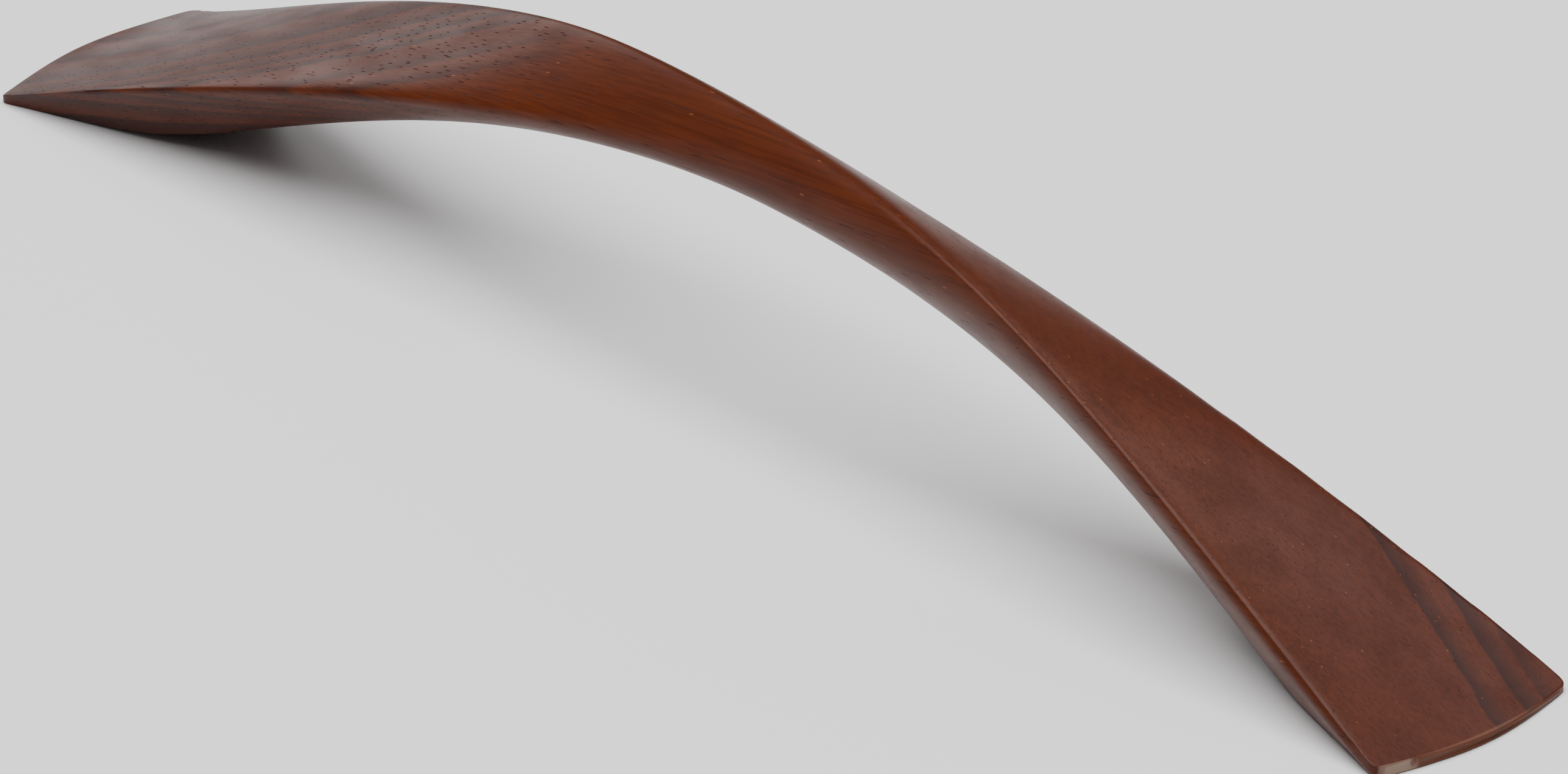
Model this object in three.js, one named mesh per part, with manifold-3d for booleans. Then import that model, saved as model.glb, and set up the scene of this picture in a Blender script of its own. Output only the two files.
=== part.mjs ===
// Twisted bow pull, carved from one piece of walnut, with two brass threaded inserts.
//
// Millimetres, +Z up and away from the furniture. X runs along the pull and Y across it.
// The origin is the middle of the footprint, on the plane that both feet stand on.
//
// The bow looks the same after half a turn about Z. A soft crest runs over the top from the
// front corner of the right foot to the back corner of the left one, and a crisp shoulder
// runs beside it. The shoulder belongs to the back edge on the right arm and to the front
// edge on the left arm, so the broad faces of the feet twist into an upright oval grip.

import * as THREE from 'three';
import { LoftGeometry } from 'three/addons/geometries/LoftGeometry.js';
import { mergeVertices } from 'three/addons/utils/BufferGeometryUtils.js';
import Module from 'manifold-3d';

// ---- driving dimensions ----------------------------------------------------------------

const OVERALL_LENGTH = 228;
const END_BULGE = 2.2;             // how far the middle of each end stands past its corners
const HALF_WIDTH = 15;             // half the width of a foot at its end
const CREST_END_THICKNESS = 1.5;    // the feet thin down to this at the crest's corner
const SHOULDER_END_THICKNESS = 0.8;  // and to this at the shoulder's corner
const HALF_LENGTH = OVERALL_LENGTH / 2 - END_BULGE;

const CREST_RISE = 34.3;           // heights of the guide corners, before the edges are eased
const CREST_FALL = 1.19;           // how sharply the crest drops towards the feet
const CREST_OVERSHOOT = 0.32;      // the crest swings this much past the straight diagonal
const CREST_RETURN = 1.84;         // and comes back to the corner at this rate
const CREST_SHARPNESS_AT_GRIP = 0.25;
const CREST_SHARPNESS_GAIN = 0.5;
const CREST_FORMED = 0.35;         // share of the half length over which the crest forms

const SHOULDER_RISE = 27.7;
const SHOULDER_FALL = 1.66;
const GRIP_HALF_WIDTH = 6.6;
const SHOULDER_SPREAD = 0.96;
const SHOULDER_SHARPNESS = 1.3;

const LIP_AT_GRIP = 2.8;           // depth of the upright band below the crest's outer side
const LIP_AT_END = 1;
const LIP_DEEPENING = 1.9;         // and how much deeper it is between grip and end
const LIP_BLEND_END = 0.5;         // share of the half length over which the band forms

const ARCH_RISE = 24;
const ARCH_SPAN = 0.84;            // share of the half length that the arch takes
const ARCH_FALL = 1.31;
const KEEL_HALF_WIDTH = 1;
const KEEL_SPREAD = 3;
const KEEL_SHARP_FROM = 0.4;
const KEEL_SHARP_RATE = 2.5;

const END_EASE_FROM = 0.93;        // past here every edge turns crisp
const END_BULGE_FADE = 10;

const STATIONS = 42;               // sections along the length
const EASING_ROUNDS = 3;           // corner-easing passes on each section

const INSERT_SPACING = 192;
const INSERT_RADIUS = 2.8;
const INSERT_WAIST_RADIUS = 2.4;
const INSERT_BORE_RADIUS = 1.65;
const INSERT_LENGTH = 4.8;
const INSERT_CHAMFER = 0.3;
const INSERT_RECESS = 0.2;         // the brass sits this far inside the foot
const INSERT_SEGMENTS = 32;
const INSERT_GAP = 0.3;            // clearance between brass and wood

// ---- shape of the bow ------------------------------------------------------------------

// Every law below takes a signed share of the half length: -1 at the left end, 1 at the right.
// Side laws describe the back (+Y) side; the front is the back of the other arm.

const { clamp, lerp, smoothstep } = THREE.MathUtils;

function crestCorner(share) {
  const reach = Math.abs(share);
  const swing = (1 + CREST_OVERSHOOT) * reach - CREST_OVERSHOOT * reach ** CREST_RETURN;
  return {
    y: -Math.sign(share) * HALF_WIDTH * swing,
    z: CREST_END_THICKNESS + CREST_RISE * (1 - reach ** 2) ** CREST_FALL,
  };
}

function shoulderCorner(reach) {
  return {
    y: lerp(GRIP_HALF_WIDTH, HALF_WIDTH, reach ** SHOULDER_SPREAD),
    z: SHOULDER_END_THICKNESS + SHOULDER_RISE * (1 - reach ** SHOULDER_FALL),
  };
}

function lipCorner(reach) {
  const shoulder = shoulderCorner(reach);
  const crest = crestCorner(reach);
  const blend = smoothstep(reach, 0, LIP_BLEND_END);
  const deepening = LIP_DEEPENING * 4 * reach * (1 - reach);
  const lip = lerp(LIP_AT_GRIP, LIP_AT_END, reach) + deepening;
  return {
    y: lerp(shoulder.y, Math.abs(crest.y), blend),
    z: lerp(shoulder.z, crest.z - lip, blend),
  };
}

function upperSideCorner(share) {
  return share >= 0 ? shoulderCorner(share) : lipCorner(-share);
}

function keelCorner(share) {
  const reach = Math.abs(share);
  const underArch = Math.max(0, 1 - (reach / ARCH_SPAN) ** 2);
  return {
    y: lerp(KEEL_HALF_WIDTH, HALF_WIDTH, reach ** KEEL_SPREAD),
    z: ARCH_RISE * underArch ** ARCH_FALL,
  };
}

// How crisp each edge is, from 0, fully rounded, to 1, left sharp.

function endSharpness(share) {
  return smoothstep(Math.abs(share), END_EASE_FROM, 1);
}

function crestSharpness(share) {
  const formed = smoothstep(Math.abs(share), 0, CREST_FORMED);
  const along = CREST_SHARPNESS_AT_GRIP + CREST_SHARPNESS_GAIN * formed;
  return Math.max(along, endSharpness(share));
}

function upperSideSharpness(share) {
  return Math.max(clamp(SHOULDER_SHARPNESS * share, 0, 1), endSharpness(share));
}

function keelSharpness(share) {
  return clamp((Math.abs(share) - KEEL_SHARP_FROM) * KEEL_SHARP_RATE, 0, 1);
}

function guideCorners(share) {
  const back = upperSideCorner(share);
  const front = upperSideCorner(-share);
  const keel = keelCorner(share);
  const keelEdge = keelSharpness(share);
  return [
    { ...crestCorner(share), sharpness: crestSharpness(share) },
    { y: -front.y, z: front.z, sharpness: upperSideSharpness(-share) },
    { y: -keel.y, z: keel.z, sharpness: keelEdge },
    { y: keel.y, z: keel.z, sharpness: keelEdge },
    { y: back.y, z: back.z, sharpness: upperSideSharpness(share) },
  ];
}

// One pass halves every edge and pulls each corner in, the less so the sharper it is.
function easeCorners(corners) {
  const eased = [];
  corners.forEach((corner, index) => {
    const before = corners.at(index - 1);
    const after = corners[(index + 1) % corners.length];
    const pull = (1 - corner.sharpness) / 8;
    eased.push({
      y: corner.y + pull * (before.y + after.y - 2 * corner.y),
      z: corner.z + pull * (before.z + after.z - 2 * corner.z),
      sharpness: corner.sharpness,
    });
    eased.push({
      y: (corner.y + after.y) / 2,
      z: (corner.z + after.z) / 2,
      sharpness: 0,
    });
  });
  return eased;
}

function bowSection(share) {
  let outline = guideCorners(share);
  for (let round = 0; round < EASING_ROUNDS; round += 1) {
    outline = easeCorners(outline);
  }
  const bulge = Math.sign(share) * END_BULGE * Math.abs(share) ** END_BULGE_FADE;
  return outline.map(({ y, z }) => {
    const across = clamp(Math.abs(y) / HALF_WIDTH, 0, 1);
    const x = share * HALF_LENGTH + bulge * (1 - across ** 2);
    return new THREE.Vector3(x, y, z);
  });
}

function bowGeometry() {
  const sections = [];
  for (let station = 0; station <= STATIONS; station += 1) {
    sections.push(bowSection(2 * station / STATIONS - 1));
  }
  return new LoftGeometry(sections, { capStart: true, capEnd: true });
}

// ---- boolean cuts ----------------------------------------------------------------------

const wasm = await Module();
wasm.setup();

function toSolid(geometry) {
  const bare = new THREE.BufferGeometry();
  bare.setAttribute('position', geometry.getAttribute('position'));
  bare.setIndex(geometry.getIndex());
  const merged = mergeVertices(bare);
  return new wasm.Manifold(new wasm.Mesh({
    numProp: 3,
    vertProperties: new Float32Array(merged.attributes.position.array),
    triVerts: new Uint32Array(merged.index.array),
  }));
}

function toGeometry(solid) {
  const { vertProperties, triVerts } = solid.getMesh();
  const geometry = new THREE.BufferGeometry();
  geometry.setAttribute('position', new THREE.BufferAttribute(vertProperties, 3));
  geometry.setIndex(new THREE.BufferAttribute(triVerts, 1));
  geometry.computeVertexNormals();
  return geometry;
}

// The blind hole that an insert is pressed into, running past the foot's underside.
function insertHole(x) {
  const depth = INSERT_RECESS + INSERT_LENGTH + INSERT_GAP;
  const height = 2 * depth;
  const hole = new THREE.CylinderGeometry(
    INSERT_RADIUS + INSERT_GAP, INSERT_RADIUS + INSERT_GAP, height, INSERT_SEGMENTS,
  );
  hole.rotateX(Math.PI / 2);
  hole.translate(x, 0, depth - height / 2);
  return toSolid(hole);
}

function drilledBowGeometry() {
  const bow = toSolid(bowGeometry());
  const leftHole = insertHole(-INSERT_SPACING / 2);
  const rightHole = insertHole(INSERT_SPACING / 2);
  return toGeometry(bow.subtract(leftHole).subtract(rightHole));
}

// ---- threaded insert -------------------------------------------------------------------

// A turned brass sleeve with two raised bands that grip the wood and a waist between them.
function insertGeometry() {
  const band = INSERT_LENGTH / 3;
  const profile = [
    [INSERT_BORE_RADIUS, 0],
    [INSERT_RADIUS - INSERT_CHAMFER, 0],
    [INSERT_RADIUS, INSERT_CHAMFER],
    [INSERT_RADIUS, band],
    [INSERT_WAIST_RADIUS, band + INSERT_CHAMFER],
    [INSERT_WAIST_RADIUS, 2 * band - INSERT_CHAMFER],
    [INSERT_RADIUS, 2 * band],
    [INSERT_RADIUS, INSERT_LENGTH - INSERT_CHAMFER],
    [INSERT_RADIUS - INSERT_CHAMFER, INSERT_LENGTH],
    [INSERT_BORE_RADIUS, INSERT_LENGTH],
    [INSERT_BORE_RADIUS, 0],
  ].map(([radius, height]) => new THREE.Vector2(radius, height));
  const sleeve = new THREE.LatheGeometry(profile, INSERT_SEGMENTS);
  sleeve.rotateX(Math.PI / 2);
  return sleeve;
}

// ---- the assembled pull ----------------------------------------------------------------

const walnut = new THREE.MeshStandardMaterial({ color: 0xa3552c, roughness: 0.38 });
const brass = new THREE.MeshStandardMaterial({ color: 0xc9a24f, roughness: 0.35, metalness: 1 });

function namedMesh(name, geometry, material) {
  const mesh = new THREE.Mesh(geometry, material);
  mesh.name = name;
  return mesh;
}

const group = new THREE.Group();
group.add(namedMesh('carved_bow', drilledBowGeometry(), walnut));

for (const [name, side] of [['threaded_insert_left', -1], ['threaded_insert_right', 1]]) {
  const insert = namedMesh(name, insertGeometry(), brass.clone());
  insert.position.set(side * INSERT_SPACING / 2, 0, INSERT_RECESS);
  group.add(insert);
}

export default group;
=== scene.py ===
"""A carved walnut bow pull with brass threaded inserts, on a pale studio floor."""

import logging
import math
from collections.abc import Callable, Iterable
from dataclasses import dataclass, field
from enum import Enum

import bmesh
import bpy
from mathutils import Matrix, Vector


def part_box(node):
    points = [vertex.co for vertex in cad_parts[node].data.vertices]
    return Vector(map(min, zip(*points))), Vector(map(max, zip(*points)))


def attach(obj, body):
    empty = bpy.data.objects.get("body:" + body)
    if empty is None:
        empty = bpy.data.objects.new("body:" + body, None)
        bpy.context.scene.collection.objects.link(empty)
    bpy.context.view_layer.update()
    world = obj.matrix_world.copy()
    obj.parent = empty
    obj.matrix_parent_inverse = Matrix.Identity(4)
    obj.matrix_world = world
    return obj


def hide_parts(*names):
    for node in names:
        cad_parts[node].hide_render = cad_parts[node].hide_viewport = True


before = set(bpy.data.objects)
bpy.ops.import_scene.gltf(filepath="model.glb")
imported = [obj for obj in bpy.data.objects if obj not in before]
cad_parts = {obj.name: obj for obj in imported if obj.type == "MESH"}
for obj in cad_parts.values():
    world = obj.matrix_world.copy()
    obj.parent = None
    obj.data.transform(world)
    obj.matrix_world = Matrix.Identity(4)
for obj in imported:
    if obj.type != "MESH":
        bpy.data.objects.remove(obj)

Piece = bpy.types.Object
Triple = tuple[float, float, float]

log = logging.getLogger("bow_pull")
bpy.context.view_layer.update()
BOW_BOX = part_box("carved_bow")
MM = 0.001
TOUCH = 1e-6
INSERT_GAP = 0.3

# A colour ramp holds no more stops than this.
MOST_STOPS = 32

# A fully rounded corner moves by this share of the sum of its two sides.
CORNER_PULL = 1 / 8

# What a sharp level of subdivision divides the rounding by, and how many levels a crease of 1 lasts.
ROUNDING_PER_LEVEL = 4
FULL_CREASE_LEVELS = 10
LEAST_ROUNDING = 1e-4


class Arm(Enum):
    """The two arms of the pull, by the sign of X."""

    LEFT = -1
    RIGHT = 1


class Line(Enum):
    """The five guide lines that run the length of the bow, in order round a section."""

    CREST = 0
    FRONT = 1
    FRONT_KEEL = 2
    BACK_KEEL = 3
    BACK = 4


# ---- working on meshes ------------------------------------------------------------------


def deselect_everything() -> None:
    """Leave edit mode and clear the selection."""
    if bpy.context.object is not None and bpy.context.object.mode != "OBJECT":
        bpy.ops.object.mode_set(mode="OBJECT")
    bpy.ops.object.select_all(action="DESELECT")


def make_active(piece: Piece) -> None:
    """Select one piece alone and make it the active one.

    Args:
        piece: The object to work on.
    """
    deselect_everything()
    piece.select_set(True)
    bpy.context.view_layer.objects.active = piece


def pick(piece: Piece, kind: str, test: Callable[..., bool]) -> int:
    """Select the vertices, edges or faces of the mesh in edit mode that pass a test.

    Args:
        piece: The object in edit mode.
        kind: "VERT", "EDGE" or "FACE".
        test: Says whether an element is wanted.

    Returns:
        How many elements were selected.
    """
    bpy.ops.mesh.select_mode(type=kind)
    bpy.ops.mesh.select_all(action="DESELECT")
    shape = bmesh.from_edit_mesh(piece.data)
    elements = {"VERT": shape.verts, "EDGE": shape.edges, "FACE": shape.faces}[kind]
    elements.ensure_lookup_table()
    wanted = [element for element in elements if test(element)]
    for element in wanted:
        element.select_set(True)
    shape.select_flush_mode()
    bmesh.update_edit_mesh(piece.data)
    return len(wanted)


def near(point: Vector, places: Iterable[Vector]) -> bool:
    """Say whether a point lies on one of some places.

    Args:
        point: The point to test.
        places: Where it may lie.

    Returns:
        True if it is within touching distance of a place.
    """
    return any((point - place).length < TOUCH for place in places)


def apply_modifier(piece: Piece, name: str, kind: str, **settings: object) -> None:
    """Add a modifier, set it and apply it.

    Args:
        piece: The object that takes the modifier.
        name: The modifier's name.
        kind: Blender's modifier type.
        **settings: Values for the modifier's own properties.
    """
    make_active(piece)
    modifier = piece.modifiers.new(name, kind)
    for key, value in settings.items():
        setattr(modifier, key, value)
    bpy.ops.object.modifier_apply(modifier=modifier.name)


def settle(piece: Piece) -> None:
    """Put a piece's place into its mesh, so that its object sits unturned at the origin.

    Args:
        piece: The finished object.
    """
    make_active(piece)
    bpy.ops.object.transform_apply(location=True, rotation=True, scale=True)


def smooth_faces(piece: Piece, angle: float) -> None:
    """Shade a piece smooth up to an angle between faces.

    Args:
        piece: The finished object.
        angle: The largest smooth angle, in degrees.
    """
    make_active(piece)
    bpy.ops.object.shade_smooth_by_angle(angle=math.radians(angle))


def blend(start: float, end: float, share: float) -> float:
    """Mix two values.

    Args:
        start: The value at share 0.
        end: The value at share 1.
        share: How far to go from start to end.

    Returns:
        The mixed value.
    """
    return start + (end - start) * share


def ease(low: float, high: float, value: float) -> float:
    """Rise smoothly from 0 at low to 1 at high.

    Args:
        low: Where the rise begins.
        high: Where it ends.
        value: The place to read.

    Returns:
        A share from 0 to 1.
    """
    share = min(max((value - low) / (high - low), 0.0), 1.0)
    return share * share * (3 - 2 * share)


# ---- finishes ---------------------------------------------------------------------------

Socket = bpy.types.NodeSocket
SocketPair = tuple[Socket, Socket]
Feed = float | tuple[float, ...] | Socket
Colour = tuple[float, float, float, float]


@dataclass(frozen=True)
class Swing:
    """A smooth change from start to stop while some number goes from low to high."""

    low: float
    high: float
    start: float = 0.0
    stop: float = 1.0


@dataclass(frozen=True)
class Cloud:
    """A cloudy pattern: the size of its patches, its number of finer layers and their strength."""

    size: Triple
    layers: float = 2
    strength: float = 0.5


class Recipe:
    """A finish's node tree, put together from small operations."""

    def __init__(self, name: str) -> None:
        """Start a material with its Principled shader.

        Args:
            name: The material's name.
        """
        self.material = bpy.data.materials.new(name)
        self.material.use_nodes = True
        self.tree = self.material.node_tree
        self.shader = self.tree.nodes["Principled BSDF"]

    def feed(self, socket: Socket, value: Feed) -> None:
        """Link a socket to another, or set its value.

        Args:
            socket: The input to feed.
            value: An output socket, a number, a vector or a colour.
        """
        if isinstance(value, Socket):
            self.tree.links.new(value, socket)
        else:
            socket.default_value = value

    def add(self, kind: str, feeds: dict[int | str, Feed], **options: object) -> bpy.types.Node:
        """Add a node, set its options and feed its inputs.

        Args:
            kind: The node's type, without its ShaderNode prefix.
            feeds: What each input gets, by name or place.
            **options: The node's own properties.

        Returns:
            The new node.
        """
        node = self.tree.nodes.new(f"ShaderNode{kind}")
        for name, value in options.items():
            setattr(node, name, value)
        for name, value in feeds.items():
            self.feed(node.inputs[name], value)
        return node

    def millimetres(self, turn: Triple = (0, 0, 0)) -> Socket:
        """Give the piece's own coordinates in millimetres.

        Args:
            turn: How far they are turned, in radians.

        Returns:
            The coordinates.
        """
        place = self.add("TexCoord", {}).outputs["Object"]
        scale = (1 / MM, 1 / MM, 1 / MM)
        return self.add("Mapping", {"Vector": place, "Rotation": turn, "Scale": scale}).outputs[0]

    def stretch(self, where: Feed, size: Triple) -> Socket:
        """Divide coordinates by a size along each axis.

        Args:
            where: The coordinates.
            size: What becomes one unit along each axis.

        Returns:
            The new coordinates.
        """
        return self.add("Mapping", {"Vector": where, "Scale": tuple(1 / side for side in size)}).outputs[0]

    def noise(self, where: Feed, cloud: Cloud) -> Socket:
        """Give a cloudy pattern from 0 to 1.

        Args:
            where: The coordinates.
            cloud: What the pattern is like.

        Returns:
            The pattern.
        """
        feeds = {"Vector": self.stretch(where, cloud.size), "Scale": 1.0}
        feeds |= {"Detail": cloud.layers, "Roughness": cloud.strength}
        return self.add("TexNoise", feeds).outputs["Fac"]

    def cells(self, where: Feed, size: Triple) -> SocketPair:
        """Give scattered cells.

        Args:
            where: The coordinates.
            size: The size of a cell along each axis.

        Returns:
            The distance from the nearest cell's middle, and that cell's random number.
        """
        node = self.add("TexVoronoi", {"Vector": self.stretch(where, size), "Scale": 1.0})
        chance = self.add("SeparateColor", {"Color": node.outputs["Color"]}).outputs[0]
        return node.outputs["Distance"], chance

    def tubes(self, where: Feed, spacing: float) -> SocketPair:
        """Give scattered tubes that run along X.

        Args:
            where: The coordinates.
            spacing: The usual distance between tubes.

        Returns:
            The distance from the nearest tube, and that tube's random number.
        """
        parts = self.add("SeparateXYZ", {"Vector": self.stretch(where, (1, spacing, spacing))}).outputs
        across = self.add("CombineXYZ", {"X": parts["Y"], "Y": parts["Z"]}).outputs[0]
        node = self.add("TexVoronoi", {"Vector": across, "Scale": 1.0}, voronoi_dimensions="2D")
        chance = self.add("SeparateColor", {"Color": node.outputs["Color"]}).outputs[0]
        return node.outputs["Distance"], chance

    def math(self, operation: str, first: Feed, second: Feed = 0.0) -> Socket:
        """Do a sum on two numbers.

        Args:
            operation: Blender's name for it.
            first: The first number.
            second: The second number.

        Returns:
            The result.
        """
        return self.add("Math", {0: first, 1: second}, operation=operation).outputs[0]

    def ease(self, value: Feed, swing: Swing) -> Socket:
        """Go smoothly from one value to another while a number passes through a range.

        Args:
            value: The number.
            swing: The range and the two values.

        Returns:
            The eased value.
        """
        feeds = {"Value": value, "From Min": swing.low, "From Max": swing.high}
        feeds |= {"To Min": swing.start, "To Max": swing.stop}
        return self.add("MapRange", feeds, interpolation_type="SMOOTHSTEP").outputs[0]

    def mix(self, share: Feed, first: Feed, second: Feed, way: str = "MIX") -> Socket:
        """Mix two colours.

        Args:
            share: How much of the second one.
            first: The first colour.
            second: The second colour.
            way: Blender's blend type.

        Returns:
            The mixed colour.
        """
        feeds = {0: share, 6: first, 7: second}
        return self.add("Mix", feeds, data_type="RGBA", blend_type=way).outputs[2]

    def ramp(self, value: Feed, stops: list[tuple[float, float]]) -> Socket:
        """Turn a number from 0 to 1 into a grey through a ramp.

        Args:
            value: The number.
            stops: Each stop's place and grey, in order.

        Returns:
            The ramp's colour.
        """
        node = self.add("ValToRGB", {"Fac": value})
        handles = node.color_ramp.elements
        handles.remove(handles[1])
        for index, (place, grey) in enumerate(stops):
            handle = handles[0] if index == 0 else handles.new(place)
            handle.position = place
            handle.color = (grey, grey, grey, 1)
        return node.outputs["Color"]

    def finish(self, colour: Feed, roughness: Feed, height: Feed, depth: float) -> None:
        """Feed the shader its colour, roughness and bump.

        Args:
            colour: The base colour.
            roughness: The roughness.
            height: The bump's height pattern.
            depth: The height of one unit of it, in metres.
        """
        bump = self.add("Bump", {"Height": height, "Distance": depth, "Strength": 1.0})
        self.feed(self.shader.inputs["Base Color"], colour)
        self.feed(self.shader.inputs["Roughness"], roughness)
        self.feed(self.shader.inputs["Normal"], bump.outputs[0])

    def put_on(self, piece: Piece) -> None:
        """Make this the piece's only material.

        Args:
            piece: The piece that takes it.
        """
        piece.data.materials.clear()
        piece.data.materials.append(self.material)


@dataclass(frozen=True)
class GrowthLine:
    """A dark line of late wood: its place across the rings, its darkness and its soft side."""

    place: float
    darkness: float
    fade: float


@dataclass(frozen=True)
class Figure:
    """The growth rings: flat layers through the plank, waved a little, with their dark lines."""

    across: Triple = (0, -0.73, 0.68)
    lines: tuple[GrowthLine, ...] = (
        GrowthLine(-11.0, 0.5, 1.6), GrowthLine(-6.9, 0.7, 1.9), GrowthLine(-4.3, 1.0, 2.4),
        GrowthLine(-0.4, 1.0, 2.0), GrowthLine(4.9, 0.95, 3.2), GrowthLine(9.6, 1.0, 3.0),
        GrowthLine(12.4, 0.95, 1.8), GrowthLine(14.2, 1.0, 1.1), GrowthLine(15.6, 1.0, 0.9),
        GrowthLine(18.2, 0.7, 1.2), GrowthLine(19.7, 0.8, 0.8),
    )
    low: float = -14
    high: float = 26
    sharp_side: float = 0.28
    spread: float = 0.9
    slow_wave: float = 1.3
    slow_cloud: Cloud = Cloud((70, 14, 14), 1)
    fine_wave: float = 0.8
    fine_cloud: Cloud = Cloud((18, 2.2, 2.2), 3, 0.6)
    on_left_arm: Swing = Swing(-18, -50)
    in_low_rings: Swing = Swing(3.2, 1.2)

    def place(self, recipe: Recipe, where: Feed) -> Socket:
        """Give the place across the rings.

        Args:
            recipe: The finish's node tree.
            where: The coordinates along the fibres.

        Returns:
            The place in millimetres.
        """
        slow = recipe.math("MULTIPLY", recipe.noise(where, self.slow_cloud), self.slow_wave)
        fine = recipe.math("MULTIPLY", recipe.noise(where, self.fine_cloud), self.fine_wave)
        feeds = {0: recipe.millimetres(), 1: self.across}
        flat = recipe.add("VectorMath", feeds, operation="DOT_PRODUCT").outputs["Value"]
        waved = recipe.math("ADD", recipe.math("ADD", flat, slow), fine)
        return recipe.math("SUBTRACT", waved, (self.slow_wave + self.fine_wave) / 2)

    def late_share(self, recipe: Recipe, ring: Feed, along: Feed) -> Socket:
        """Give how much late wood shows, from a soft rise to a sharp edge at each line.

        Args:
            recipe: The finish's node tree.
            ring: The place across the rings.
            along: The place along the fibres.

        Returns:
            The share of late wood.
        """
        span = self.high - self.low
        stops = []
        for line in self.lines:
            for place, grey in ((line.place - line.fade, 0.0), (line.place, line.darkness),
                                (line.place + self.sharp_side, 0.0)):
                stops.append(((place - self.low) / span, grey))
        stops = [stop for index, stop in enumerate(stops) if index == 0 or stop[0] > stops[index - 1][0]]
        share = recipe.math("DIVIDE", recipe.math("SUBTRACT", ring, self.low), span)
        late = recipe.math("POWER", recipe.ramp(share, stops[:MOST_STOPS]), self.spread)
        on_left = recipe.ease(along, self.on_left_arm)
        shown = recipe.math("MAXIMUM", on_left, recipe.ease(ring, self.in_low_rings))
        return recipe.math("MULTIPLY", late, shown)


@dataclass(frozen=True)
class Pores:
    """Open pores: dark tubes along the fibres, broken into dashes, more in some growth."""

    spacing: float = 0.5
    core: Swing = Swing(0.07, 0.17, 1, 0)
    run: Cloud = Cloud((3.4, 0.35, 0.35), 1)
    breaks: Swing = Swing(0.44, 0.54)
    patch: Cloud = Cloud((30, 4, 4), 1)
    by_patch: Swing = Swing(0.35, 0.7, -0.15, 0.2)
    by_ring: Swing = Swing(4, 14, 0.25, 0.85)
    by_arm: Swing = Swing(-15, -45, 0.5, 1)

    def share(self, recipe: Recipe, where: Feed, ring: Feed, along: Feed) -> Socket:
        """Give the share of pore.

        Args:
            recipe: The finish's node tree.
            where: The coordinates along the fibres.
            ring: The place across the rings.
            along: The place along the fibres.

        Returns:
            The share of pore.
        """
        distance, chance = recipe.tubes(where, self.spacing)
        run = recipe.ease(recipe.noise(where, self.run), self.breaks)
        dash = recipe.math("MULTIPLY", recipe.ease(distance, self.core), run)
        patchy = recipe.ease(recipe.noise(where, self.patch), self.by_patch)
        wanted = recipe.math("ADD", recipe.ease(ring, self.by_ring), patchy)
        wanted = recipe.math("MULTIPLY", wanted, recipe.ease(along, self.by_arm))
        return recipe.math("MULTIPLY", dash, recipe.math("LESS_THAN", chance, wanted))


@dataclass(frozen=True)
class CutEnds:
    """The two narrow end faces, and the bare patch where the finish has chipped off one corner."""

    depth: float = 0.5
    on_right: Swing = Swing(0, 1)
    chip_side: Swing = Swing(-7.5, -9)
    chip_ragged: float = 4
    chip_grain: Cloud = Cloud((1.5, 1.5, 1.5), 3, 0.6)

    def share(self, recipe: Recipe) -> Socket:
        """Give the share of end grain, which follows the bow of the ends.

        Args:
            recipe: The finish's node tree.

        Returns:
            The share of end grain.
        """
        far = BOW_BOX[1] / MM
        parts = recipe.add("SeparateXYZ", {"Vector": recipe.millimetres()}).outputs
        across = recipe.math("DIVIDE", parts["Y"], far.y)
        bow = recipe.math("MULTIPLY", recipe.math("MULTIPLY", across, across), BowShape.end_bulge)
        reach = recipe.math("ADD", recipe.math("ABSOLUTE", parts["X"]), bow)
        return recipe.ease(reach, Swing(far.x - self.depth, far.x - self.depth / 2))

    def chip_share(self, recipe: Recipe, where: Feed) -> Socket:
        """Give the share of bare wood on the right end's lower corner.

        Args:
            recipe: The finish's node tree.
            where: The coordinates along the fibres.

        Returns:
            The share of bare wood.
        """
        parts = recipe.add("SeparateXYZ", {"Vector": recipe.millimetres()}).outputs
        ragged = recipe.math("MULTIPLY", recipe.noise(where, self.chip_grain), self.chip_ragged)
        side = recipe.ease(recipe.math("ADD", parts["Y"], ragged), self.chip_side)
        return recipe.math("MULTIPLY", recipe.ease(parts["X"], self.on_right), side)


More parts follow.
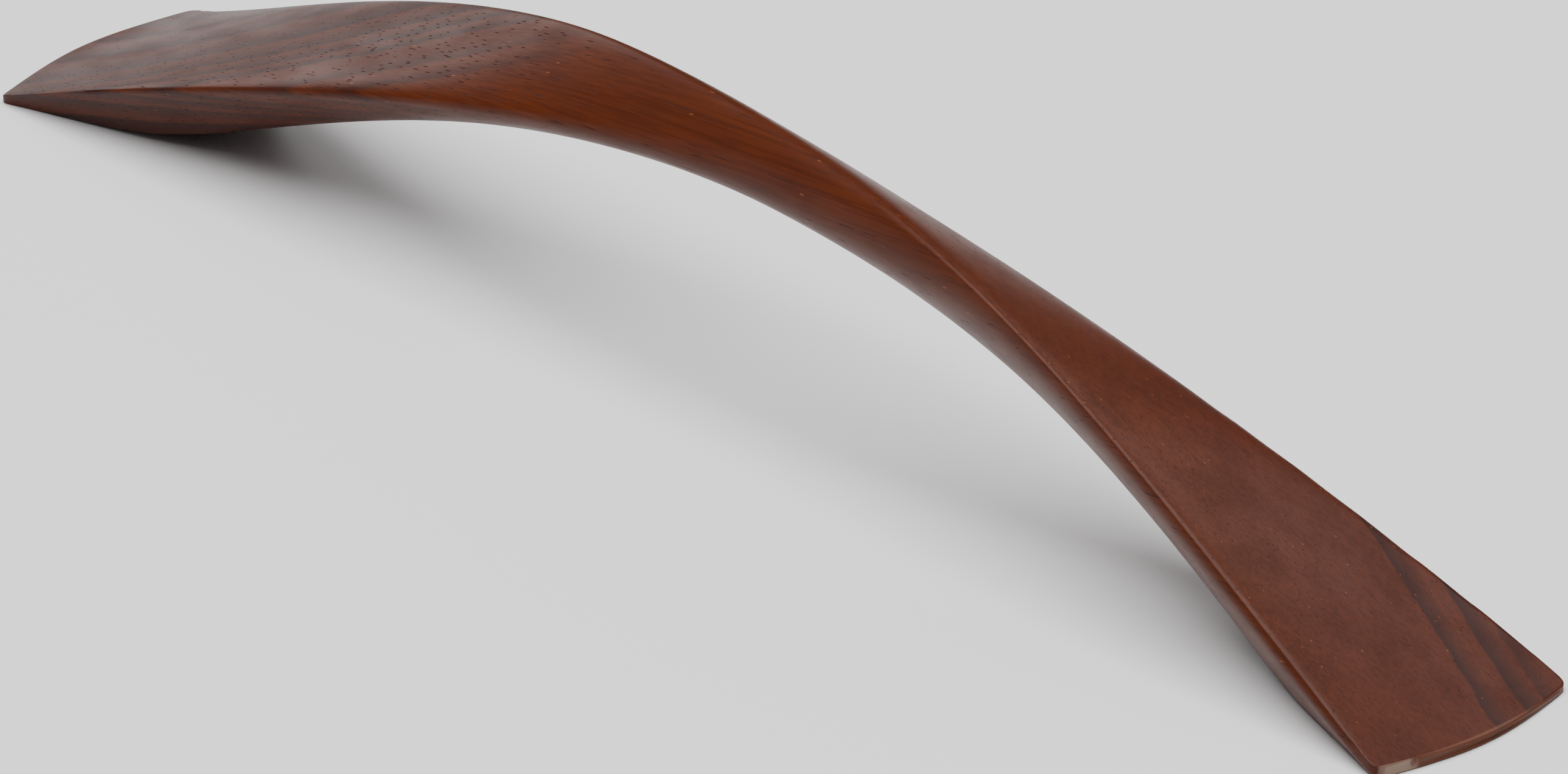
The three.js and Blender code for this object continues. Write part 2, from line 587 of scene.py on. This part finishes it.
@dataclass(frozen=True)
class Walnut:
    """Satin walnut, grained along the pull. Lengths are in millimetres."""

    fibre_tilt: float = 5.7
    figure: Figure = Figure()
    pores: Pores = Pores()
    ends: CutEnds = CutEnds()
    red_brown: Colour = (0.084, 0.0178, 0.0068, 1)
    orange_brown: Colour = (0.090, 0.0195, 0.0062, 1)
    late_wood: Colour = (0.030, 0.008, 0.006, 1)
    pore_brown: Colour = (0.012, 0.005, 0.004, 1)
    # Painted glint: light specks of dust and pits that catch the light, put into the colour.
    dust_and_glint_orange: Colour = (0.26, 0.08, 0.025, 1)
    end_grain: Colour = (0.19, 0.085, 0.055, 1)
    raw_wood: Colour = (0.27, 0.19, 0.145, 1)
    mottle_tint: Colour = (0.62, 0.56, 0.54, 1)
    streak_tint: Colour = (0.50, 0.42, 0.40, 1)
    mottle: Cloud = Cloud((9, 5, 5), 2, 0.55)
    streaks: Cloud = Cloud((26, 0.42, 0.42), 4, 0.7)
    orange_rings: Swing = Swing(8, 17)
    mottled: Swing = Swing(0.3, 0.75, 0, 0.5)
    streaked: Swing = Swing(0.35, 0.7, 0, 0.6)
    worn: Swing = Swing(0.54, 0.68, 0, 0.1)
    pore_darkness: float = 0.6
    end_paleness: float = 0.4
    dust_and_glint_size: Triple = (3.4, 0.8, 0.8)
    dust_and_glint_core: Swing = Swing(0.06, 0.14, 1, 0)
    dust_and_glint_chance: float = 0.2
    dust_and_glint_brightness: float = 0.6
    satin: Swing = Swing(0.25, 0.8, 0.31, 0.41)
    pore_dullness: float = 0.25
    chip_dullness: float = 0.4
    grain_depth: float = 0.035
    streak_height: float = 0.4
    pore_depth: float = 0.6
    refraction: float = 1.5
    shine: float = 0.15

    def dress(self, piece: Piece) -> None:
        """Give the piece this finish.

        Args:
            piece: The wooden piece.
        """
        recipe = Recipe("satin_walnut")
        where = recipe.millimetres((0, math.radians(self.fibre_tilt), 0))
        along = recipe.add("SeparateXYZ", {"Vector": where}).outputs["X"]
        ring = self.figure.place(recipe, where)
        mottle = recipe.noise(where, self.mottle)
        streak = recipe.noise(where, self.streaks)
        late = self.figure.late_share(recipe, ring, along)
        pores = self.pores.share(recipe, where, ring, along)
        cut_end = self.ends.share(recipe)
        chip = recipe.math("MULTIPLY", cut_end, self.ends.chip_share(recipe, where))

        body = recipe.mix(recipe.ease(ring, self.orange_rings), self.red_brown, self.orange_brown)
        body = recipe.mix(recipe.ease(mottle, self.mottled), body, self.mottle_tint, "MULTIPLY")
        body = recipe.mix(recipe.ease(streak, self.streaked), body, self.streak_tint, "MULTIPLY")
        body = recipe.mix(late, body, self.late_wood)
        body = recipe.mix(recipe.math("MULTIPLY", pores, self.pore_darkness), body, self.pore_brown)
        # Painted glints: light specks where dust and pits catch the light.
        body = recipe.mix(self.dust_and_glint_share(recipe, where), body, self.dust_and_glint_orange)
        edge = recipe.add("NewGeometry", {}).outputs["Pointiness"]
        body = recipe.mix(recipe.ease(edge, self.worn), body, self.orange_brown)
        body = recipe.mix(recipe.math("MULTIPLY", cut_end, self.end_paleness), body, self.end_grain)
        body = recipe.mix(chip, body, self.raw_wood)

        dull = recipe.math("MULTIPLY", pores, self.pore_dullness)
        roughness = recipe.math("ADD", recipe.ease(mottle, self.satin), dull)
        roughness = recipe.math("ADD", roughness, recipe.math("MULTIPLY", chip, self.chip_dullness))
        raised = recipe.math("MULTIPLY", streak, self.streak_height)
        height = recipe.math("SUBTRACT", raised, recipe.math("MULTIPLY", pores, self.pore_depth))
        recipe.finish(body, roughness, height, self.grain_depth * MM)
        recipe.shader.inputs["IOR"].default_value = self.refraction
        recipe.shader.inputs["Specular IOR Level"].default_value = self.shine
        recipe.put_on(piece)

    def dust_and_glint_share(self, recipe: Recipe, where: Feed) -> Socket:
        """Give a few short light specks: dust and pits that catch the light, with their glint painted into
        the colour.

        Args:
            recipe: The finish's node tree.
            where: The coordinates along the fibres.

        Returns:
            The share of fleck.
        """
        distance, chance = recipe.cells(where, self.dust_and_glint_size)
        kept = recipe.math("LESS_THAN", chance, self.dust_and_glint_chance)
        dust_and_glint = recipe.math("MULTIPLY", recipe.ease(distance, self.dust_and_glint_core), kept)
        return recipe.math("MULTIPLY", dust_and_glint, self.dust_and_glint_brightness)


@dataclass(frozen=True)
class TurnedBrass:
    """Brass as it leaves the lathe, a little tarnished. Lengths are in millimetres."""

    bright: Colour = (0.80, 0.56, 0.25, 1)
    tarnish: Colour = (0.42, 0.27, 0.12, 1)
    tool_marks: Cloud = Cloud((0.09, 0.09, 1), 2, 0.6)
    stains: Cloud = Cloud((1.1, 1.1, 1.1), 4, 0.6)
    stained: Swing = Swing(0.42, 0.7)
    kept_bright: Swing = Swing(0.5, 0.6, 1, 0.2)
    polish: Swing = Swing(0.3, 0.7, 0.24, 0.36)
    stain_dullness: float = 0.2
    mark_depth: float = 0.008

    def dress(self, piece: Piece) -> None:
        """Give the piece this finish, with its tool marks round the insert's axis.

        Args:
            piece: The brass piece.
        """
        recipe = Recipe("turned_brass")
        where = recipe.millimetres()
        parts = recipe.add("SeparateXYZ", {"Vector": where}).outputs
        low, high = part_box("threaded_insert_right")
        axis = (low.x + high.x) / 2 / MM
        along = recipe.math("SUBTRACT", recipe.math("ABSOLUTE", parts["X"]), axis)
        flat = recipe.add("CombineXYZ", {"X": along, "Y": parts["Y"]}).outputs[0]
        radius = recipe.add("VectorMath", {0: flat}, operation="LENGTH").outputs["Value"]
        turned = recipe.add("CombineXYZ", {"X": radius, "Y": parts["Z"]}).outputs[0]
        marks = recipe.noise(turned, self.tool_marks)
        edge = recipe.add("NewGeometry", {}).outputs["Pointiness"]
        stain = recipe.ease(recipe.noise(where, self.stains), self.stained)
        dull = recipe.math("MULTIPLY", stain, recipe.ease(edge, self.kept_bright))
        colour = recipe.mix(dull, self.bright, self.tarnish)
        rough = recipe.math("MULTIPLY", dull, self.stain_dullness)
        roughness = recipe.math("ADD", recipe.ease(marks, self.polish), rough)
        recipe.finish(colour, roughness, marks, self.mark_depth * MM)
        recipe.shader.inputs["Metallic"].default_value = 1.0
        recipe.put_on(piece)


# ---- the bow ----------------------------------------------------------------------------


@dataclass(frozen=True)
class BowShape:
    """The laws of the bow's guide lines, in millimetres, as shares of its half length."""

    end_bulge: float = 2.2
    bulge_fade: float = 10
    bulge_lift: float = 1.5
    corner_round: float = 1.3
    half_width: float = 15
    crest_end: float = 1.5
    crest_rise: float = 34.3
    crest_fall: float = 1.19
    crest_overshoot: float = 0.32
    crest_return: float = 1.84
    shoulder_end: float = 0.8
    shoulder_rise: float = 27.7
    shoulder_fall: float = 1.66
    grip_half_width: float = 6.6
    shoulder_spread: float = 0.96
    lip_at_grip: float = 2.8
    lip_at_end: float = 1
    lip_deepening: float = 1.9
    lip_blend_end: float = 0.5
    arch_rise: float = 24
    arch_span: float = 0.84
    arch_fall: float = 1.31
    keel_half_width: float = 1
    keel_spread: float = 3

    def half_length(self) -> float:
        """Give the half length at the corners, from the CAD box."""
        low, high = BOW_BOX
        return (high.x - low.x) / 2 / MM - self.end_bulge

    def crest(self, share: float) -> tuple[float, float]:
        """Give the crest's Y and Z.

        Args:
            share: Signed share of the half length.

        Returns:
            The guide corner's Y and Z.
        """
        reach = abs(share)
        swing = (1 + self.crest_overshoot) * reach - self.crest_overshoot * reach ** self.crest_return
        height = self.crest_end + self.crest_rise * (1 - reach ** 2) ** self.crest_fall
        return -math.copysign(self.half_width * swing, share), height

    def shoulder(self, reach: float) -> tuple[float, float]:
        """Give the crisp shoulder's Y and Z on the side that it runs along.

        Args:
            reach: Share of the half length, without sign.

        Returns:
            The guide corner's Y and Z.
        """
        across = blend(self.grip_half_width, self.half_width, reach ** self.shoulder_spread)
        return across, self.shoulder_end + self.shoulder_rise * (1 - reach ** self.shoulder_fall)

    def lip(self, reach: float) -> tuple[float, float]:
        """Give the lower edge of the band under the crest.

        Args:
            reach: Share of the half length, without sign.

        Returns:
            The guide corner's Y and Z.
        """
        shoulder_y, shoulder_z = self.shoulder(reach)
        crest_y, crest_z = self.crest(reach)
        formed = ease(0, self.lip_blend_end, reach)
        depth = blend(self.lip_at_grip, self.lip_at_end, reach)
        depth += self.lip_deepening * 4 * reach * (1 - reach)
        return blend(shoulder_y, abs(crest_y), formed), blend(shoulder_z, crest_z - depth, formed)

    def upper_side(self, share: float) -> tuple[float, float]:
        """Give the upper corner of the back side: shoulder on the right arm, lip on the left.

        Args:
            share: Signed share of the half length.

        Returns:
            The guide corner's Y and Z.
        """
        return self.shoulder(share) if share >= 0 else self.lip(-share)

    def keel(self, share: float) -> tuple[float, float]:
        """Give the lower edge's Y and Z on the back side.

        Args:
            share: Signed share of the half length.

        Returns:
            The guide corner's Y and Z.
        """
        reach = abs(share)
        under_arch = max(0.0, 1 - (reach / self.arch_span) ** 2)
        across = blend(self.keel_half_width, self.half_width, reach ** self.keel_spread)
        return across, self.arch_rise * under_arch ** self.arch_fall

    def corners(self, share: float) -> dict[Line, tuple[float, float]]:
        """Give all five guide corners of a section.

        Args:
            share: Signed share of the half length.

        Returns:
            Y and Z by guide line.
        """
        front_y, front_z = self.upper_side(-share)
        keel_y, keel_z = self.keel(share)
        return {
            Line.CREST: self.crest(share),
            Line.FRONT: (-front_y, front_z),
            Line.FRONT_KEEL: (-keel_y, keel_z),
            Line.BACK_KEEL: (keel_y, keel_z),
            Line.BACK: self.upper_side(share),
        }

    def place(self, share: float, across: float, height: float) -> Vector:
        """Turn a section's Y and Z into a point in metres, with the rounded end added.

        Args:
            share: Signed share of the half length.
            across: The point's Y in millimetres.
            height: The point's Z in millimetres.

        Returns:
            The point in metres.
        """
        bulge = math.copysign(self.end_bulge * abs(share) ** self.bulge_fade, share)
        edge = min(abs(across) / self.half_width, 1.0)
        along = share * self.half_length() + self.bulge_lift * bulge * (1 - edge ** 2)
        to_end = self.half_length() * (1 - abs(share))
        inside = max(self.corner_round - to_end, 0.0)
        cut = self.corner_round - math.sqrt(self.corner_round ** 2 - inside ** 2)
        return Vector((along, across * (1 - cut / self.half_width), height)) * MM


@dataclass(frozen=True)
class BowEdges:
    """How crisp each guide line is along the bow, from 0, rounded, to 1, sharp."""

    crest_at_grip: float = 0.25
    crest_gain: float = 0.5
    crest_formed: float = 0.35
    shoulder_rate: float = 0.92
    keel_from: float = 0.4
    keel_rate: float = 2.5
    end_from: float = 0.78
    least_crisp: float = 0.02

    def sharpness(self, line: Line, share: float) -> float:
        """Give a guide line's crispness at one place.

        Args:
            line: The guide line.
            share: Signed share of the half length.

        Returns:
            Crispness from 0 to 1.
        """
        reach = abs(share)
        at_end = ease(self.end_from, 1.0, reach)
        if line is Line.CREST:
            return max(self.crest_at_grip + self.crest_gain * ease(0, self.crest_formed, reach), at_end)
        if line is Line.BACK:
            return max(1 - (1 - self.shoulder_rate * max(share, 0.0)) ** 2, at_end)
        if line is Line.FRONT:
            return max(1 - (1 - self.shoulder_rate * max(-share, 0.0)) ** 2, at_end)
        return min(max((reach - self.keel_from) * self.keel_rate, 0.0), 1.0)


@dataclass
class CarvedBow:
    """The wooden bow: a ring of ten points drawn out station by station, then subdivided."""

    shape: BowShape = field(default_factory=BowShape)
    edges: BowEdges = field(default_factory=BowEdges)
    spans: int = 24
    end_steps: tuple[float, ...] = (2.4, 1.3, 0.6, 0.2, 0.0)
    last_even_station: float = 0.96
    subdivision: int = 4
    end_crease: float = 0.45
    end_chamfer: float = 0.22
    hole_sides: int = 96
    smooth_angle: float = 50

    def shares(self) -> list[float]:
        """Give the stations as signed shares, crowded together where the ends round off."""
        reach = self.last_even_station
        even = [reach * (2 * step / self.spans - 1) for step in range(self.spans + 1)]
        right = [1 - step / self.shape.half_length() for step in self.end_steps]
        left = [-share for share in reversed(right)]
        return left + even + right

    def section(self, share: float) -> list[Vector]:
        """Give a section's ten cage points: five eased corners and five edge middles.

        Args:
            share: Signed share of the half length.

        Returns:
            The points in metres, in order round the section.
        """
        corners = self.shape.corners(share)
        lines = list(Line)
        points = []
        for index, line in enumerate(lines):
            here = Vector(corners[line])
            before = Vector(corners[lines[index - 1]])
            after = Vector(corners[lines[(index + 1) % len(lines)]])
            pull = CORNER_PULL * (1 - self.edges.sharpness(line, share))
            eased = here + pull * (before + after - 2 * here)
            middle = (here + after) / 2
            points.append(self.shape.place(share, eased.x, eased.y))
            points.append(self.shape.place(share, middle.x, middle.y))
        return points

    def move_ring(self, bow: Piece, now: list[Vector], wanted: list[Vector]) -> None:
        """Move a ring's points one by one.

        Args:
            bow: The bow in edit mode.
            now: Where the points are.
            wanted: Where they go, in the same order.
        """
        for start, target in zip(now, wanted):
            pick(bow, "VERT", lambda vertex: (vertex.co - start).length < TOUCH)
            bpy.ops.transform.translate(value=target - start)

    def draw_out(self) -> Piece:
        """Add a filled ring at the left end and extrude it from station to station."""
        sections = [self.section(share) for share in self.shares()]
        first = sections[0]
        deselect_everything()
        bpy.ops.mesh.primitive_circle_add(
            vertices=len(first), radius=self.shape.half_width * MM, fill_type="NGON",
            location=sum(first, Vector()) / len(first), rotation=(0, math.pi / 2, 0),
        )
        bow = bpy.context.object
        bow.name = "walnut_bow"
        settle(bow)
        bpy.ops.object.mode_set(mode="EDIT")
        ring = [vertex.co.copy() for vertex in bmesh.from_edit_mesh(bow.data).faces[:][0].verts]
        self.move_ring(bow, ring, first)
        for before, after in zip(sections, sections[1:]):
            pick(bow, "FACE", lambda face: len(face.verts) == len(before)
                 and all(near(vertex.co, before) for vertex in face.verts))
            step = Vector((after[0].x - before[0].x, 0, 0))
            bpy.ops.mesh.extrude_region_move(TRANSFORM_OT_translate={"value": step})
            self.move_ring(bow, [point + step for point in before], after)
        return bow

    def close_near_end(self, bow: Piece) -> None:
        """Fill the open ring that the first extrusion leaves at the left end.

        Args:
            bow: The bow in edit mode.
        """
        open_edges = pick(bow, "EDGE", lambda edge: edge.is_boundary)
        if open_edges:
            bpy.ops.mesh.edge_face_add()

    def chamfer_ends(self, bow: Piece) -> None:
        """Inset both end faces and crease their rims, so that each end keeps a fine soft edge.

        Args:
            bow: The bow in edit mode.
        """
        reach = self.shape.half_length() * MM - TOUCH
        for side in Arm:
            ring = self.section(side.value)
            pick(bow, "VERT", lambda vertex: near(vertex.co, (ring[5], ring[9])))
            bpy.ops.mesh.vert_connect_path()
            pick(bow, "FACE", lambda face: all(side.value * vertex.co.x > reach for vertex in face.verts))
            bpy.ops.mesh.inset(thickness=self.end_chamfer * MM, depth=self.end_chamfer / 2 * MM)
            bpy.ops.mesh.region_to_loop()
            bpy.ops.transform.edge_crease(value=self.end_crease)
            pick(bow, "EDGE", lambda edge: near(edge.verts[0].co, ring) and near(edge.verts[1].co, ring))
            bpy.ops.transform.edge_crease(value=self.end_crease)

    def crease_lines(self, bow: Piece) -> None:
        """Crease each guide line, span by span, as crisp as it is there.

        Args:
            bow: The bow in edit mode.
        """
        shares = self.shares()
        for left, right in zip(shares, shares[1:]):
            ends = self.section(left), self.section(right)
            for line in Line:
                crisp = self.edges.sharpness(line, (left + right) / 2)
                if crisp < self.edges.least_crisp:
                    continue
                start, stop = (points[2 * line.value] for points in ends)
                pick(bow, "EDGE", lambda edge: near(edge.verts[0].co, (start, stop))
                     and near(edge.verts[1].co, (start, stop)))
                bpy.ops.transform.edge_crease(value=self.crease(crisp))

    def crease(self, crisp: float) -> float:
        """Turn a crispness into the edge crease that subdivides to the same roundness.

        Each level of subdivision that keeps an edge sharp leaves a quarter of its rounding.

        Args:
            crisp: From 0, fully rounded, to 1, sharp.

        Returns:
            Blender's crease value.
        """
        base = ROUNDING_PER_LEVEL
        rounding = max(1 - crisp, LEAST_ROUNDING)
        levels = math.floor(-math.log(rounding, base))
        part = (1 - rounding * base ** levels) * base / (base - 1)
        return math.sqrt((levels + part) / FULL_CREASE_LEVELS)

    def bore_holes(self, bow: Piece) -> None:
        """Drill the blind holes for the threaded inserts into both feet.

        Args:
            bow: The subdivided bow.
        """
        for arm in Arm:
            low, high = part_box(f"threaded_insert_{arm.name.lower()}")
            centre = (low + high) / 2
            radius = (high.x - low.x) / 2 + INSERT_GAP * MM
            depth = high.z + INSERT_GAP * MM
            deselect_everything()
            bpy.ops.mesh.primitive_cylinder_add(
                vertices=self.hole_sides, radius=radius, depth=2 * depth,
                location=(centre.x, centre.y, 0),
            )
            drill = bpy.context.object
            settle(drill)
            apply_modifier(bow, "bore", "BOOLEAN", operation="DIFFERENCE", object=drill, solver="EXACT")
            bpy.data.objects.remove(drill)

    def build(self) -> Piece:
        """Model the bow.

        Returns:
            The finished piece.
        """
        bow = self.draw_out()
        self.close_near_end(bow)
        bpy.ops.mesh.select_all(action="SELECT")
        bpy.ops.mesh.normals_make_consistent(inside=False)
        self.crease_lines(bow)
        self.chamfer_ends(bow)
        bpy.ops.object.mode_set(mode="OBJECT")
        apply_modifier(bow, "subdivide", "SUBSURF", levels=self.subdivision, render_levels=self.subdivision)
        self.bore_holes(bow)
        smooth_faces(bow, self.smooth_angle)
        Walnut().dress(bow)
        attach(bow, "root")
        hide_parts("carved_bow")
        return bow


@dataclass
class ThreadedInsert:
    """A turned brass sleeve with two knurled bands, a waist and a threaded bore, in millimetres."""

    waist_radius: float = 2.4
    chamfer: float = 0.3
    knurls: int = 30
    knurl_depth: float = 0.13
    bore_radius: float = 1.65
    bore_sides: int = 64
    thread_radius: float = 2.02
    thread_pitch: float = 0.7
    thread_half_tooth: float = 0.3
    thread_steps: int = 32
    upright_normal: float = 0.1
    overrun: float = 0.7
    smooth_angle: float = 28

    def __post_init__(self) -> None:
        """Take the outer size and place from the CAD sleeve on the right."""
        low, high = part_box("threaded_insert_right")
        self.axis = Vector(((low.x + high.x) / 2, (low.y + high.y) / 2, 0))
        self.base, self.top = low.z, high.z
        self.radius = (high.x - low.x) / 2 / MM

    def profile(self) -> list[tuple[float, float]]:
        """Give the outline from base to top as radius and height above the base."""
        length = (self.top - self.base) / MM
        band = length / 3
        edge = self.chamfer
        return [
            (self.radius - edge, 0), (self.radius, edge), (self.radius, band),
            (self.waist_radius, band + edge), (self.waist_radius, 2 * band - edge),
            (self.radius, 2 * band), (self.radius, length - edge), (self.radius - edge, length),
        ]

    def turn_body(self) -> Piece:
        """Draw the outline up ring by ring from a filled circle."""
        outline = self.profile()
        foot = self.axis + Vector((0, 0, self.base))
        deselect_everything()
        bpy.ops.mesh.primitive_circle_add(
            vertices=2 * self.knurls, radius=outline[0][0] * MM, fill_type="NGON", location=foot,
        )
        body = bpy.context.object
        body.name = "brass_insert_right"
        settle(body)
        bpy.ops.object.mode_set(mode="EDIT")
        bpy.ops.mesh.select_all(action="SELECT")
        for (radius, height), (wider, higher) in zip(outline, outline[1:]):
            step = Vector((0, 0, (higher - height) * MM))
            bpy.ops.mesh.extrude_region_move(TRANSFORM_OT_translate={"value": step})
            growth = wider / radius
            bpy.ops.transform.resize(value=(growth, growth, 1), center_override=foot)
        if pick(body, "EDGE", lambda edge: edge.is_boundary):
            bpy.ops.mesh.edge_face_add()
        bpy.ops.mesh.select_all(action="SELECT")
        bpy.ops.mesh.normals_make_consistent(inside=False)
        return body

    def knurl(self, body: Piece) -> None:
        """Press every other face of both bands inwards, for grooves that grip the wood.

        Args:
            body: The sleeve in edit mode.
        """
        rim = (self.radius - self.chamfer / 2) * MM

        def groove(face: bmesh.types.BMFace) -> bool:
            """Say whether a face of a band becomes a groove."""
            middle = face.calc_center_median() - self.axis
            turn = math.atan2(middle.y, middle.x) / math.pi * self.knurls
            upright = abs(face.normal.z) < self.upright_normal
            return upright and middle.to_2d().length > rim and math.floor(turn) % 2 == 0

        pick(body, "FACE", groove)
        press = {"value": -self.knurl_depth * MM}
        bpy.ops.mesh.extrude_region_shrink_fatten(TRANSFORM_OT_shrink_fatten=press)
        bpy.ops.object.mode_set(mode="OBJECT")

    def bore(self, body: Piece) -> None:
        """Drill the sleeve through.

        Args:
            body: The solid sleeve.
        """
        deselect_everything()
        middle = self.axis + Vector((0, 0, (self.base + self.top) / 2))
        bpy.ops.mesh.primitive_cylinder_add(
            vertices=self.bore_sides, radius=self.bore_radius * MM,
            depth=2 * (self.top - self.base), location=middle,
        )
        drill = bpy.context.object
        settle(drill)
        apply_modifier(body, "drill", "BOOLEAN", operation="DIFFERENCE", object=drill, solver="EXACT")
        bpy.data.objects.remove(drill)

    def tap(self, body: Piece) -> None:
        """Cut the thread with one tooth swept up a helix that runs out past both ends.

        Args:
            body: The drilled sleeve.
        """
        start = self.axis + Vector((0, 0, self.base - self.overrun * MM))
        turns = math.ceil(((self.top - self.base) / MM + 2 * self.overrun) / self.thread_pitch)
        deselect_everything()
        bpy.ops.mesh.primitive_circle_add(vertices=3, radius=self.thread_half_tooth * MM, location=start)
        tooth = bpy.context.object
        bpy.ops.object.mode_set(mode="EDIT")
        root = self.bore_radius - self.thread_half_tooth
        corners = ((root, -self.thread_half_tooth), (root, self.thread_half_tooth), (self.thread_radius, 0))
        points = [vertex.co.copy() for vertex in bmesh.from_edit_mesh(tooth.data).verts]
        for point, (reach, height) in zip(points, corners):
            pick(tooth, "VERT", lambda vertex: (vertex.co - point).length < TOUCH)
            bpy.ops.transform.translate(value=Vector((reach, 0, height)) * MM - point)
        bpy.ops.object.mode_set(mode="OBJECT")
        apply_modifier(
            tooth, "sweep", "SCREW", axis="Z", angle=2 * math.pi, iterations=turns,
            screw_offset=self.thread_pitch * MM, steps=self.thread_steps, render_steps=self.thread_steps,
        )
        bpy.ops.object.mode_set(mode="EDIT")
        pick(tooth, "EDGE", lambda edge: edge.is_boundary)
        bpy.ops.mesh.edge_face_add()
        bpy.ops.mesh.select_all(action="SELECT")
        bpy.ops.mesh.normals_make_consistent(inside=False)
        settle(tooth)
        apply_modifier(body, "thread", "BOOLEAN", operation="DIFFERENCE", object=tooth, solver="EXACT")
        bpy.data.objects.remove(tooth)

    def copy_to_left(self, body: Piece) -> Piece:
        """Copy the sleeve, with its own mesh, into the left foot.

        Args:
            body: The sleeve on the right.

        Returns:
            The copy.
        """
        make_active(body)
        bpy.ops.object.duplicate()
        copy = bpy.context.object
        copy.name = "brass_insert_left"
        bpy.ops.transform.translate(value=(-2 * self.axis.x, 0, 0))
        settle(copy)
        return copy

    def build(self) -> list[Piece]:
        """Make both inserts.

        Returns:
            The right and the left one.
        """
        body = self.turn_body()
        self.knurl(body)
        self.bore(body)
        self.tap(body)
        smooth_faces(body, self.smooth_angle)
        TurnedBrass().dress(body)
        inserts = [body, self.copy_to_left(body)]
        for insert, node in zip(inserts, ("threaded_insert_right", "threaded_insert_left")):
            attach(insert, "root")
            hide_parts(node)
        return inserts


# ---- the studio -------------------------------------------------------------------------


@dataclass(frozen=True)
class SoftPanel:
    """A square of soft light, aimed at the pull."""

    name: str
    place: Triple
    side: float
    radiance: float

    def build(self) -> None:
        """Hang the panel."""
        light = bpy.data.lights.new(self.name, "AREA")
        light.shape = "SQUARE"
        light.size = self.side
        light.energy = self.radiance * math.pi * self.side ** 2
        panel = bpy.data.objects.new(self.name, light)
        panel.location = self.place
        panel.rotation_euler = Vector(self.place).to_track_quat("Z", "Y").to_euler()
        bpy.context.scene.collection.objects.link(panel)


@dataclass(frozen=True)
class Studio:
    """A pale floor, soft panels and a long lens looking along the pull."""

    azimuth: float = 46.25
    elevation: float = 27.9
    distance: float = 2.73
    frame_width: float = 0.1759
    aim_right: float = 0.00207
    aim_up: float = 0.00032
    sensor: float = 36
    floor_side: float = 1.4
    floor_grey: float = 0.9
    floor_roughness: float = 0.9
    world_grey: float = 0.06
    panels: tuple[SoftPanel, ...] = (
        SoftPanel("overhead", (0.0, -0.1, 0.8), 0.8, 6.0),
        SoftPanel("back", (-0.2, 1.6, 1.5), 1.1, 2.0),
        SoftPanel("front_left", (-1.5, -1.6, 0.5), 1.0, 1.3),
        SoftPanel("behind_left", (-2.3, 0.95, 0.85), 0.8, 3.4),
        SoftPanel("right", (2.6, 0.6, 2.0), 1.6, 2.4),
    )

    def toward_camera(self) -> Vector:
        """Give the direction from the pull to the camera."""
        turn, rise = math.radians(self.azimuth), math.radians(self.elevation)
        return Vector((math.sin(turn) * math.cos(rise), -math.cos(turn) * math.cos(rise), math.sin(rise)))

    def add_camera(self) -> None:
        """Stand the camera at its angle and distance, level, aimed beside the pull's middle."""
        back = self.toward_camera()
        right = Vector((-back.y, back.x, 0)).normalized()
        up = back.cross(right)
        target = self.aim_right * right + self.aim_up * up
        optics = bpy.data.cameras.new("camera")
        optics.sensor_width = self.sensor
        optics.lens = self.sensor * self.distance / self.frame_width
        optics.clip_end = 10 * self.distance
        camera = bpy.data.objects.new("camera", optics)
        turn = Matrix((right, up, back)).transposed()
        camera.matrix_world = Matrix.Translation(target + self.distance * back) @ turn.to_4x4()
        bpy.context.scene.collection.objects.link(camera)
        bpy.context.scene.camera = camera

    def add_floor(self) -> None:
        """Lay the pale floor that both feet rest on."""
        deselect_everything()
        bpy.ops.mesh.primitive_plane_add(size=self.floor_side, location=(0, 0, 0))
        floor = bpy.context.object
        floor.name = "floor"
        paint = bpy.data.materials.new("pale_floor")
        paint.use_nodes = True
        shader = paint.node_tree.nodes["Principled BSDF"]
        shader.inputs["Base Color"].default_value = (self.floor_grey, self.floor_grey, self.floor_grey, 1)
        shader.inputs["Roughness"].default_value = self.floor_roughness
        floor.data.materials.append(paint)

    def build(self) -> None:
        """Set up the camera, floor, panels and the room's own dim light."""
        self.add_camera()
        self.add_floor()
        for panel in self.panels:
            panel.build()
        world = bpy.data.worlds.new("room")
        world.use_nodes = True
        background = world.node_tree.nodes["Background"]
        background.inputs["Color"].default_value = (self.world_grey, self.world_grey, self.world_grey, 1)
        bpy.context.scene.world = world


def main() -> None:
    """Build the pull and report each piece."""
    logging.basicConfig(level=logging.INFO, format="%(message)s")
    bow = CarvedBow().build()
    for piece in (bow, *ThreadedInsert().build()):
        log.info("%s: %d faces", piece.name, len(piece.data.polygons))
    Studio().build()


if __name__ == "__main__":
    main()
